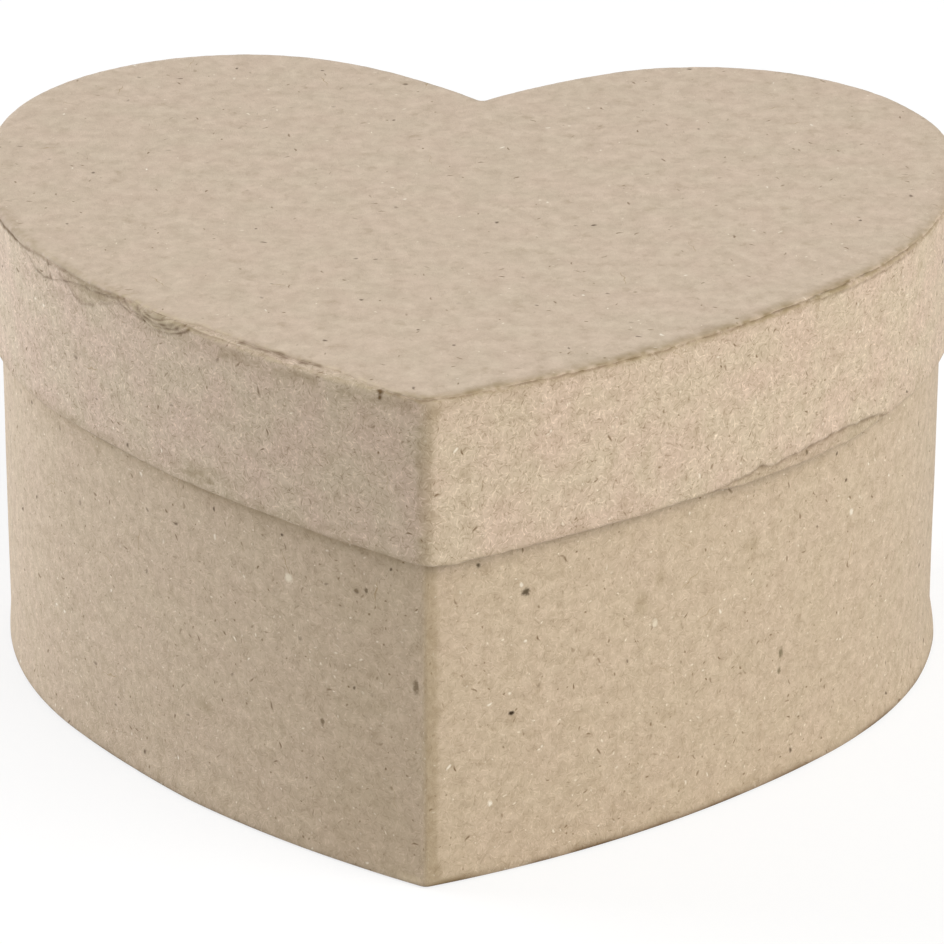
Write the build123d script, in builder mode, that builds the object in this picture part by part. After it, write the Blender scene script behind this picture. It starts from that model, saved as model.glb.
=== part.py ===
from build123d import *
import os
from functools import cache
from math import acos, cos, degrees, radians, sin

# A heart-shaped keepsake box of brown kraft papier-mache, made the way a rigid paper box is made.
# A tray and a lift-off lid each have board walls, a board panel, a kraft wrap that is folded over
# every edge, and kraft sheets and strips that line the inside and hide the folded margins.
# Millimetres. The origin is under the middle of the box, on the surface that it stands on.
# +Z is up, -Y is towards the heart's tip, and the heart is the same on both sides of X = 0.

# Outline of the lid: each side is four arcs that run into each other, from the tip to the cleft.
# The sweeps and the tip's half angle are in degrees. The last arc sweeps as far as X = 0.
tip_half_angle = 64.0
side_radius = 120.0
side_sweep = 25.6
shoulder_radius = 51.2
shoulder_sweep = 44.5
lobe_radius = 26.8
lobe_sweep = 112.9
cleft_side_radius = 64.0

# Rounding of the lid's outside corners. The layers inside it are rounded about the same centres.
tip_round = 2.4
cleft_round = 0.5

# Heights
box_height = 55.3
lid_height = 17.8

# Paper of the wraps, sheets, linings and stays, and board of the rim, wall and panels
paper = 0.2
rim_board = 0.7
wall_board = 1.0
panel_board = 1.2
fold_round_share = 1.5

# Fit of the lid over the tray
lid_clearance = 0.25

# Margins that the wraps leave over for folding, and how far sheets and linings stop short of an edge
turn_over = 6.0
turn_in = 8.0
lining_setback = 2.5
top_sheet_setback = 0.7
base_sheet_setback = 1.5

# Gummed paper stays over the joints of the wall boards
stay_width = 14.0

# Insets of the layers from the lid's outline, from the outside in
rim_outside = paper
rim_inside = rim_outside + rim_board
rim_lining_inside = rim_inside + paper
tray_outside = rim_lining_inside + lid_clearance
wall_outside = tray_outside + paper
wall_inside = wall_outside + wall_board
wall_lining_inside = wall_inside + paper

# Heights of the layers, from the bottom up
base_underside = paper
wall_bottom = base_underside + paper
base_topside = base_underside + panel_board
floor_level = base_topside + paper
lid_bottom = box_height - lid_height
top_board_topside = box_height - paper
top_board_underside = top_board_topside - panel_board
tray_rim = top_board_underside - paper
rim_board_top = top_board_topside - paper

fold_round = paper * fold_round_share

# Arcs of the right side. A heading is the outline's direction of travel, in degrees from +X.
arc_radii = [side_radius, shoulder_radius, lobe_radius, cleft_side_radius]
joint_headings = [90 - tip_half_angle]
for sweep in (side_sweep, shoulder_sweep, lobe_sweep):
    joint_headings.append(joint_headings[-1] + sweep)


def radial(heading):
    """Direction from an arc's centre to the point where the outline has this heading."""
    return Vector(sin(radians(heading)), -cos(radians(heading)))


arc_centres = [radial(joint_headings[0]) * -side_radius]
for heading, before, after in zip(joint_headings[1:], arc_radii, arc_radii[1:]):
    arc_centres.append(arc_centres[-1] + radial(heading) * (before - after))

# The lobes' tops and the tip are as far in front of the origin as behind it.
box_depth = arc_centres[2].Y + lobe_radius
arc_centres = [centre - Vector(0, box_depth / 2) for centre in arc_centres]


@cache
def heart(inset):
    """The lid's outline, moved inwards by inset all round."""
    radii = [radius - inset for radius in arc_radii]
    tip_angle = -degrees(acos(-arc_centres[0].X / radii[0]))
    cleft_angle = degrees(acos(-arc_centres[-1].X / radii[-1]))
    angles = [tip_angle] + [heading - 90 for heading in joint_headings[1:]] + [cleft_angle]
    with BuildSketch() as outline:
        with BuildLine():
            for centre, radius, start, stop in zip(arc_centres, radii, angles, angles[1:]):
                CenterArc(centre, radius, start, stop - start)
            mirror(about=Plane.YZ)
        make_face()
        tip, cleft = outline.vertices().sort_by(lambda corner: abs(corner.X))[:2].sort_by(Axis.Y)
        fillet(cleft, cleft_round + inset)
        if tip_round > inset:
            fillet(outline.vertices().sort_by_distance(tip)[0], tip_round - inset)
    return outline.sketch


def sheet(inset, bottom, top):
    """A flat heart at this inset, between two heights."""
    with BuildSketch(Plane.XY.offset(bottom)) as face:
        add(heart(inset))
    extrude(face.sketch, amount=top - bottom)


def band(outside, inside, bottom, top, mode=Mode.ADD):
    """A strip that follows the outline, between two insets and two heights."""
    with BuildSketch(Plane.XY.offset(bottom)) as ring:
        add(heart(outside))
        add(heart(inside), mode=Mode.SUBTRACT)
    extrude(ring.sketch, amount=top - bottom, mode=mode)


def stay(end, outside, inside, bottom, top, mode=Mode.ADD):
    """The short stretch of a band that lies over the joint at the tip or at the cleft."""
    with BuildSketch(Plane.XY.offset(bottom)) as strip:
        add(heart(outside))
        add(heart(inside), mode=Mode.SUBTRACT)
        Rectangle(stay_width, box_depth, align=(Align.CENTER, stay_ends[end]), mode=Mode.INTERSECT)
    extrude(strip.sketch, amount=top - bottom, mode=mode)


def save(piece, name):
    """Labels a finished piece and writes it under its own name."""
    piece.part.label = name
    export_step(piece.part, f"parts/{name}.step")


os.makedirs("parts", exist_ok=True)
stay_ends = {"tip": Align.MAX, "cleft": Align.MIN}
wall_sides = {"left": Keep.BOTTOM, "right": Keep.TOP}

# Tray

# The base cover sheet is what the box stands on. It hides the wrap's folded margin.
with BuildPart() as base_cover_sheet:
    sheet(tray_outside + base_sheet_setback, 0, base_underside)
save(base_cover_sheet, "base_cover_sheet")

# The base board fills the bottom of the walls. Its edge is pressed in where the wrap turns under.
with BuildPart() as base_board:
    sheet(wall_inside, base_underside, base_topside)
    band(wall_inside, wall_inside + turn_over, base_underside, wall_bottom, mode=Mode.SUBTRACT)
save(base_board, "base_board")

# Gummed stays hold the two wall strips together at the tip and at the cleft, under the lining.
tray_stay_layer = (wall_inside - paper, wall_inside, base_topside, tray_rim - turn_in)
for end in stay_ends:
    with BuildPart() as tray_stay:
        stay(end, *tray_stay_layer)
    save(tray_stay, f"tray_{end}_stay")

# Two board strips make the wall. They meet at the tip and at the cleft, and stand on the wrap's
# margin. The wrap's turned-in edge and the stays are pressed into their inside faces.
tray_turn_in = (wall_inside - paper, wall_inside, tray_rim - turn_in, tray_rim - paper)
for side, kept_half in wall_sides.items():
    with BuildPart() as tray_wall:
        band(wall_outside, wall_inside, wall_bottom, tray_rim - paper)
        band(*tray_turn_in, mode=Mode.SUBTRACT)
        for end in stay_ends:
            stay(end, *tray_stay_layer, mode=Mode.SUBTRACT)
        split(bisect_by=Plane.YZ, keep=kept_half)
    save(tray_wall, f"tray_wall_{side}")

# The kraft wrap covers the wall, folds over its rim to the inside, and turns under the base board.
with BuildPart() as tray_wall_wrap:
    band(tray_outside, wall_outside, base_underside, tray_rim)
    band(tray_outside, wall_inside, tray_rim - paper, tray_rim)
    band(*tray_turn_in)
    band(tray_outside, wall_inside + turn_over, base_underside, wall_bottom)
    for folded_edge in (0, -1):
        fillet(tray_wall_wrap.faces().sort_by(Axis.Z)[folded_edge].outer_wire().edges(), fold_round)
save(tray_wall_wrap, "tray_wall_wrap")

# The lining strip covers the wall's inside and the lower part of the wrap's turned-in edge.
with BuildPart() as tray_wall_lining:
    band(wall_inside, wall_lining_inside, base_topside, tray_rim - lining_setback)
save(tray_wall_lining, "tray_wall_lining")

# The floor sheet lies on the base board, inside the lining strip.
with BuildPart() as tray_floor_sheet:
    sheet(wall_lining_inside, base_topside, floor_level)
save(tray_floor_sheet, "tray_floor_sheet")

# Lid

# The top board fills the top of the rim. Its edge is pressed in where the wrap turns over it.
with BuildPart() as lid_top_board:
    sheet(rim_inside, top_board_underside, top_board_topside)
    band(rim_inside, rim_inside + turn_over, rim_board_top, top_board_topside, mode=Mode.SUBTRACT)
save(lid_top_board, "lid_top_board")

# Gummed stays hold the two rim strips together, above the wrap's turned-in edge.
lid_stay_layer = (rim_inside - paper, rim_inside, lid_bottom + turn_in, tray_rim)
for end in stay_ends:
    with BuildPart() as lid_stay:
        stay(end, *lid_stay_layer)
    save(lid_stay, f"lid_{end}_stay")

# Two board strips make the rim, held by the stays and the wrap in the way that the wall is.
lid_turn_in = (rim_inside - paper, rim_inside, lid_bottom + paper, lid_bottom + turn_in)
for side, kept_half in wall_sides.items():
    with BuildPart() as lid_rim:
        band(rim_outside, rim_inside, lid_bottom + paper, rim_board_top)
        band(*lid_turn_in, mode=Mode.SUBTRACT)
        for end in stay_ends:
            stay(end, *lid_stay_layer, mode=Mode.SUBTRACT)
        split(bisect_by=Plane.YZ, keep=kept_half)
    save(lid_rim, f"lid_rim_{side}")

# The kraft wrap covers the rim, folds over its lower edge to the inside, and turns over the top board.
with BuildPart() as lid_rim_wrap:
    band(0, rim_outside, lid_bottom, top_board_topside)
    band(0, rim_inside, lid_bottom, lid_bottom + paper)
    band(*lid_turn_in)
    band(0, rim_inside + turn_over, rim_board_top, top_board_topside)
    for folded_edge in (0, -1):
        fillet(lid_rim_wrap.faces().sort_by(Axis.Z)[folded_edge].outer_wire().edges(), fold_round)
save(lid_rim_wrap, "lid_rim_wrap")

# The top sheet hides the wrap's margin. It stops just short of the rim's edge.
with BuildPart() as lid_top_sheet:
    sheet(top_sheet_setback, top_board_topside, box_height)
save(lid_top_sheet, "lid_top_sheet")

# The underside sheet covers the top board inside the rim, and rests on the tray's rim.
with BuildPart() as lid_underside_sheet:
    sheet(rim_inside, tray_rim, top_board_underside)
save(lid_underside_sheet, "lid_underside_sheet")

# The rim's lining strip slides over the tray. It covers the upper part of the wrap's turned-in edge.
with BuildPart() as lid_rim_lining:
    band(rim_inside, rim_lining_inside, lid_bottom + lining_setback, tray_rim)
save(lid_rim_lining, "lid_rim_lining")
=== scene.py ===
from math import atan2, ceil, cos, pi, radians, sin, sqrt, tan

import bpy
import numpy as np
from mathutils import Matrix, Vector


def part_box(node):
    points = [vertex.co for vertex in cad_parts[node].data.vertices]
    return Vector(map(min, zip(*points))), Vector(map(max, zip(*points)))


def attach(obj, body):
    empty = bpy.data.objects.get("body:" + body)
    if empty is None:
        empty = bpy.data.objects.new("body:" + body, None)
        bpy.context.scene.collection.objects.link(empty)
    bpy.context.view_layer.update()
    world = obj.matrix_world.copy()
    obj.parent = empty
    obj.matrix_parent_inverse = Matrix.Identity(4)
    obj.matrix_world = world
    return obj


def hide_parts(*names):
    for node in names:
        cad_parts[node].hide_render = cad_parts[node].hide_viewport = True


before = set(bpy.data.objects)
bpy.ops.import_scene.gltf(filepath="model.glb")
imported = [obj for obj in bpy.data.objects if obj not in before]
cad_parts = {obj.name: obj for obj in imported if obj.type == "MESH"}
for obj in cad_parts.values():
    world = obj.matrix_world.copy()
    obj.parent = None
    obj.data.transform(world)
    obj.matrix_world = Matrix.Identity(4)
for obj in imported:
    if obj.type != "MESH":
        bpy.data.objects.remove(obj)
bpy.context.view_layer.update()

# A heart-shaped keepsake box of raw kraft papier-mache: a tray and a lift-off lid, both of board that is
# wrapped in brown recycled paper. The paper is folded, lapped and tucked by hand, and nothing is printed.
# Lengths are millimetres until a mesh is made. The box stands on Z = 0, with the heart's tip towards -Y.
# Places along the outline are measured from the tip, negative to the left and positive to the right.

MM = 0.001

# Outline of the lid: four arcs to a side that run into each other, from the tip to the cleft
TIP_HALF_ANGLE = 64.0
ARC_RADII = (120.0, 51.2, 26.8, 64.0)
ARC_SWEEPS = (25.6, 44.5, 112.9)
TIP_ROUND = 2.4
CLEFT_ROUND = 0.5
SHARPEST_ROUND = 0.05


def levels(node):
    """Lowest and highest level of a CAD node."""
    low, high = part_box(node)
    return low.z / MM, high.z / MM


def inset_of(node):
    """How far inside the lid's outline a CAD node's outer face lies."""
    return (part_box("lid_rim_wrap")[1].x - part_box(node)[1].x) / MM


# Levels and insets of the papers, as the frame has them
lid_bottom, fold_top = levels("lid_rim_wrap")
box_top = levels("lid_top_sheet")[1]
paper = box_top - fold_top
base_level, tray_rim = levels("tray_wall_wrap")
floor_high = levels("tray_floor_sheet")[1]
lining_low, lining_high = levels("tray_wall_lining")
rim_lining_low, rim_lining_high = levels("lid_rim_lining")
rim_inside = inset_of("lid_top_board")
tray_outside = inset_of("tray_wall_wrap")
wall_inside = inset_of("base_board")

# Margins that the wraps leave over for folding, and the roundness of the folds
TURN_OVER = 6.0
TURN_IN = 8.0
TOP_FOLD_ROUND = 0.45
LOW_FOLD_ROUND = 0.44
TRAY_FOLD_ROUND = 0.5
BASE_FOLD_ROUND = 0.3

# Outline


def radial(angle):
    """Direction at this angle from +X."""
    return np.array([np.cos(angle), np.sin(angle)]).T


def arc_centres():
    """Centres of the right side's arcs, with the box's depth shared evenly before and behind the origin."""
    turns = np.radians(np.cumsum((-TIP_HALF_ANGLE,) + ARC_SWEEPS))
    centres = [-radial(turns[0]) * ARC_RADII[0]]
    for turn, before, after in zip(turns[1:], ARC_RADII, ARC_RADII[1:]):
        centres.append(centres[-1] + radial(turn) * (before - after))
    depth = centres[2][1] + ARC_RADII[2]
    return [centre - (0, depth / 2) for centre in centres], turns


CENTRES, TURNS = arc_centres()


def side_arcs(inset):
    """Arcs of the right side at an inset, from tip to cleft: centre, radius, first and last angle."""
    radii = [radius - inset for radius in ARC_RADII]
    tip_round = max(TIP_ROUND - inset, SHARPEST_ROUND)
    first, last = CENTRES[0], CENTRES[-1]
    tip_y = first[1] - sqrt((radii[0] - tip_round) ** 2 - first[0] ** 2)
    cleft_y = last[1] + sqrt((ARC_RADII[-1] + CLEFT_ROUND) ** 2 - last[0] ** 2)
    tip_angle = atan2(tip_y - first[1], -first[0])
    cleft_angle = atan2(cleft_y - last[1], -last[0])
    angles = [tip_angle, *TURNS[1:], cleft_angle]
    arcs = [((0, tip_y), tip_round, -pi / 2, tip_angle)]
    arcs += list(zip(CENTRES, radii, angles, angles[1:]))
    return arcs + [((0, cleft_y), CLEFT_ROUND + inset, cleft_angle - pi, -pi / 2)]


ARC_LENGTHS = [radius * abs(last - first) for _, radius, first, last in side_arcs(0)]
ARC_STARTS = np.concatenate([[0], np.cumsum(ARC_LENGTHS)])
HALF_LENGTH = ARC_STARTS[-1]


def ring(along, inset):
    """Points of the outline at these places, moved inwards by one inset, and the directions outwards."""
    distance = np.abs(along)
    which = np.clip(np.searchsorted(ARC_STARTS, distance, side="right") - 1, 0, len(ARC_LENGTHS) - 1)
    share = (distance - ARC_STARTS[which]) / np.array(ARC_LENGTHS)[which]
    centre, radius, first, last = (np.array(part)[which] for part in zip(*side_arcs(inset)))
    outward = radial(first + (last - first) * share)
    points = centre + radius[:, None] * outward
    outward[which == len(ARC_LENGTHS) - 1] *= -1
    side = np.where(along < 0, -1, 1)[:, None] * (1, 0) + (0, 1)
    return points * side, outward * side


# Places in half of the cleft. They lie close there, where the papers farther in bend round a wider curve.
CLEFT_PLACES = 6


def stations(first_step, *stretches):
    """Places right round the outline, from the cleft by the left side and the tip and back to the cleft.

    They start with the first step between them. Each stretch then has its start and its own step.
    """
    cleft = ARC_LENGTHS[-1]
    close = cleft / CLEFT_PLACES
    cleft_and_left = [(-HALF_LENGTH, close), (cleft - HALF_LENGTH, first_step)]
    stretches = [*cleft_and_left, *stretches, (HALF_LENGTH - cleft, close)]
    ends = [start for start, _ in stretches[1:]] + [HALF_LENGTH]
    places = []
    for (start, step), end in zip(stretches, ends):
        places.append(np.linspace(start, end, ceil((end - start) / step), endpoint=False))
    return np.concatenate(places)


LID_STATIONS = stations(0.6, (-80, 0.25), (-62, 0.13), (-22, 0.18), (0, 0.2), (78, 0.6))
TRAY_STATIONS = stations(0.7, (-85, 0.4), (85, 0.7))
LINING_STATIONS = stations(0.7)

# Unevenness of handwork

# Rows of random values across a strip, before they come round again
KNOT_ROWS = 89


def smooth(share):
    """Goes from 0 to 1 as the share does, and levels out at both ends."""
    share = np.clip(share, 0, 1)
    return share * share * (3 - 2 * share)


def rumple(along, across, swing, swing_across, seed):
    """Smooth random values from -1 to 1 over a strip: places along it, and distances across it."""
    count = max(3, round(2 * HALF_LENGTH / swing))
    knots = np.random.default_rng(seed).uniform(-1, 1, (count, KNOT_ROWS))
    place = (along[:, None] / HALF_LENGTH + 1) / 2 * count
    level = np.atleast_2d(across) / swing_across
    column, row = np.floor(place).astype(int), np.floor(level).astype(int)
    ahead, above = smooth(place - column), smooth(level - row)

    def edge(number):
        number = number % KNOT_ROWS
        before, after = knots[column % count, number], knots[(column + 1) % count, number]
        return before * (1 - ahead) + after * ahead

    return edge(row) * (1 - above) + edge(row + 1) * above


def wander(along, swing, seed):
    """Smooth random values from -1 to 1 round the outline, about one to each length of swing."""
    return rumple(along, 0.0, swing, 1.0, seed)[:, 0]


# Meshes

# Bends sharper than this are drawn as sharp edges.
SHARP_BEND = radians(55)
# The hidden face of a strip has one row of points to this many of the shown face.
HIDDEN_ROW = 6
# A round fold has this many points.
FOLD_POINTS = 9


def mesh_piece(name, points, faces, sheet_places, marks):
    """An object from points, with a UV map of its places on the flat paper, both in millimetres."""
    mesh = bpy.data.meshes.new(name)
    mesh.from_pydata((points * MM).tolist(), [], faces.tolist())
    layer = mesh.uv_layers.new(name="paper_mm")
    layer.uv.foreach_set("vector", sheet_places.astype(np.float32).ravel())
    for mark, amount in marks.items():
        attribute = mesh.attributes.new(mark, "FLOAT", "POINT")
        attribute.data.foreach_set("value", amount.astype(np.float32).ravel())
    mesh.polygons.foreach_set("use_smooth", np.ones(len(mesh.polygons), bool))
    mesh.set_sharp_from_angle(angle=SHARP_BEND)
    piece = bpy.data.objects.new(name, mesh)
    bpy.context.scene.collection.objects.link(piece)
    return piece


def finish_piece(piece, body, material, node):
    """Gives a piece its material, and puts it on its body in place of the CAD node."""
    piece.data.materials.append(material)
    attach(piece, body)
    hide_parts(node)


def trace(*waypoints):
    """Section of a paper's shown face. Waypoints are inset, level, rounding, and the step that follows."""
    corners = [np.array(waypoint[:2]) for waypoint in waypoints]
    points = []
    start = corners[0]
    for number, (_, _, _, step) in enumerate(waypoints[:-1]):
        corner = corners[number + 1]
        rounding = waypoints[number + 1][2]
        end = corner
        bend = []
        if rounding:
            back = (corners[number] - corner) / np.linalg.norm(corners[number] - corner)
            on = (corners[number + 2] - corner) / np.linalg.norm(corners[number + 2] - corner)
            half = np.arccos(np.clip(back @ on, -1, 1)) / 2
            end = corner + back * rounding / tan(half)
            centre = corner + (back + on) / np.linalg.norm(back + on) * rounding / sin(half)
            across = (end - centre) / rounding
            ahead = -back
            turn = np.linspace(0, pi - 2 * half, FOLD_POINTS)[1:]
            bend = [centre + rounding * (across * cos(angle) + ahead * sin(angle)) for angle in turn]
        count = max(1, ceil(np.linalg.norm(end - start) / step - 1e-6))
        points += [start + (end - start) * share for share in np.arange(count) / count]
        if rounding:
            points.append(end)
            points += bend[:-1]
            start = bend[-1]
        else:
            start = end
    points.append(start)
    return np.array(points)


def facing(path):
    """Directions out of the shown face of a section."""
    run = np.gradient(path, axis=0)
    run /= np.linalg.norm(run, axis=1)[:, None]
    return np.stack([-run[:, 1], run[:, 0]], 1)


def run_along(path):
    """Lengths of paper from the section's start to each of its points."""
    return np.concatenate([[0], np.cumsum(np.linalg.norm(np.diff(path, axis=0), axis=1))])


def lengths_round(along, inset):
    """Lengths of paper from the cleft to these places, and right round, at an inset."""
    points, _ = ring(np.append(along, HALF_LENGTH), inset)
    return np.concatenate([[0], np.cumsum(np.linalg.norm(np.diff(points, axis=0), axis=1))])


def strip(name, along, path, thickness, lift=0.0, rise=0.0, spread=0.0, lean=0.0, marks=None, lengths=None):
    """A strip of paper with this section, led round the outline.

    Lift is out of its face, rise is upwards, spread is level and out of the outline, and lean is along X.
    Lengths of paper at the places are given where they differ much from the outline's own.
    """
    hidden = np.unique(np.append(np.arange(0, len(path), HIDDEN_ROW), len(path) - 1))[::-1]
    face = facing(path)
    shape = (len(along), len(path))
    lift, rise, spread, lean = (np.broadcast_to(amount, shape) for amount in (lift, rise, spread, lean))
    shown_rows = [(number, 0.0) for number in range(len(path))]
    hidden_rows = [(number, thickness) for number in hidden]
    rows = []
    for number, depth in shown_rows + hidden_rows:
        points, outward = ring(along, path[number][0] - face[number][0] * depth)
        points = points + outward * (spread[:, number] - face[number][0] * lift[:, number])[:, None]
        points[:, 0] += lean[:, number]
        level = path[number][1] + face[number][1] * (lift[:, number] - depth) + rise[:, number]
        rows.append(np.column_stack([points, level]))
    points = np.stack(rows, 1)
    count, deep = points.shape[:2]
    runs = run_along(path)
    across = np.concatenate([runs, runs[hidden], runs[:1]])
    here, row = (grid.ravel() for grid in np.meshgrid(np.arange(count), np.arange(deep), indexing="ij"))
    after, above = (here + 1) % count, (row + 1) % deep
    faces = np.stack([here * deep + row, after * deep + row, after * deep + above, here * deep + above], 1)
    ends = np.append(along, HALF_LENGTH) if lengths is None else lengths
    u = np.stack([ends[here], ends[here + 1], ends[here + 1], ends[here]], 1)
    v = np.stack([across[row], across[row], across[row + 1], across[row + 1]], 1)
    full_marks = {}
    for mark, amount in (marks or {}).items():
        full_marks[mark] = np.concatenate([amount, amount[:, hidden] * 0], 1)
    return mesh_piece(name, points.reshape(-1, 3), faces, np.stack([u, v], -1).reshape(-1, 2), full_marks)


def flat_piece(name, along, insets, level, thickness, faces_up=True):
    """A heart-shaped sheet, cut by hand: insets of its edge, level of its shown face, and thickness."""
    soft_edge = thickness * 0.35
    sign = 1 if faces_up else -1
    steps = [(0.0, -thickness), (0.0, -soft_edge), (soft_edge, 0.0), (1.0, 0.0)]
    rows = []
    for inward, depth in steps:
        points, outward = ring(along, float(np.mean(insets)) + inward)
        points = points - outward * (insets - np.mean(insets))[:, None]
        rows.append(np.column_stack([points, np.full(len(along), level + sign * depth)]))
    return sheet_of_rings(name, rows, faces_up)


def sheet_of_rings(name, rows, faces_up=True, marks=None):
    """A sheet from rings of points that run inwards from the lower edge to the middle of the shown face."""
    count = len(rows[0])
    points = np.concatenate(rows)
    here = np.arange(count)
    after = (here + 1) % count
    quads = []
    for number in range(len(rows) - 1):
        low, high = number * count, (number + 1) * count
        quads.append(np.stack([low + here, low + after, high + after, high + here], 1))
    faces = np.concatenate(quads).tolist()
    faces.append((here + (len(rows) - 1) * count).tolist())
    faces.append(here[::-1].tolist())
    if not faces_up:
        faces = [face[::-1] for face in faces]
    corners = np.concatenate([np.array(face) for face in faces])
    return mesh_piece(name, points, np.array(faces, object), points[corners][:, :2], marks or {})


# Materials


def linear(hex_colour):
    """An sRGB hex colour as Blender's linear red, green, blue and alpha."""
    parts = [int(hex_colour[place:place + 2], 16) / 255 for place in (1, 3, 5)]
    return [((part + 0.055) / 1.055) ** 2.4 if part > 0.04045 else part / 12.92 for part in parts] + [1]


def add(tree, kind, inputs, out=0, **settings):
    """Adds a node with its settings, sets or links its inputs, and gives one of its outputs."""
    made = tree.nodes.new(kind)
    for setting, value in settings.items():
        setattr(made, setting, value)
    for place, value in inputs.items():
        if isinstance(value, bpy.types.NodeSocket):
            tree.links.new(value, made.inputs[place])
        else:
            made.inputs[place].default_value = value
    return made.outputs[out]


# Each layer of strewn fibres is the same pattern, shifted this far for each seed.
STREW_SHIFT = (17.3, 9.1)


def strewn(tree, place, spacing, length, width, seed):
    """Fibres or flecks strewn over paper, one to a cell, turned any way: the shape, and three chances."""
    shift = (seed * STREW_SHIFT[0], seed * STREW_SHIFT[1], 0)
    moved = add(tree, "ShaderNodeVectorMath", {0: place, 1: shift}, operation="ADD")
    middle = add(tree, "ShaderNodeTexVoronoi", {"Vector": moved, "Scale": 1 / spacing}, "Position",
                 voronoi_dimensions="2D")
    chances = add(tree, "ShaderNodeSeparateColor", {0: middle.node.outputs["Color"]})
    angle = add(tree, "ShaderNodeMath", {0: chances, 1: 2 * pi}, operation="MULTIPLY")
    away = add(tree, "ShaderNodeVectorMath", {0: moved, 1: middle}, operation="SUBTRACT")
    turned = add(tree, "ShaderNodeVectorRotate", {"Vector": away, "Angle": angle}, rotation_type="Z_AXIS")
    shares = add(tree, "ShaderNodeVectorMath", {0: turned, 1: (2 / length, 2 / width, 0)},
                 operation="MULTIPLY")
    reach = add(tree, "ShaderNodeVectorMath", {0: shares}, "Value", operation="LENGTH")
    shape = add(tree, "ShaderNodeMapRange", {"Value": reach, "From Min": 1.0, "From Max": 0.35})
    return shape, chances.node.outputs


# Sizes of the patterns in kraft paper. The fibres waver at the first size, by the second.
WAVER_SIZE = 0.9
WAVER = 0.5
MOTTLE_SIZE = 6.0
STREAK_WIDTH = 0.5
STREAK_LENGTH = 9.0
SMUDGE_SIZE = 2.4
RAGGED_SIZE = 0.4
FIBRE_RELIEF = 0.06
# Fibres of three lengths: spacing, length, width and seed. A fibre is drawn four to five times its real
# width, because a real one is too fine to show.
FIBRES = ((0.34, 0.6, 0.16, 1), (0.52, 1.0, 0.15, 2), (0.9, 1.6, 0.15, 3))


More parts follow.
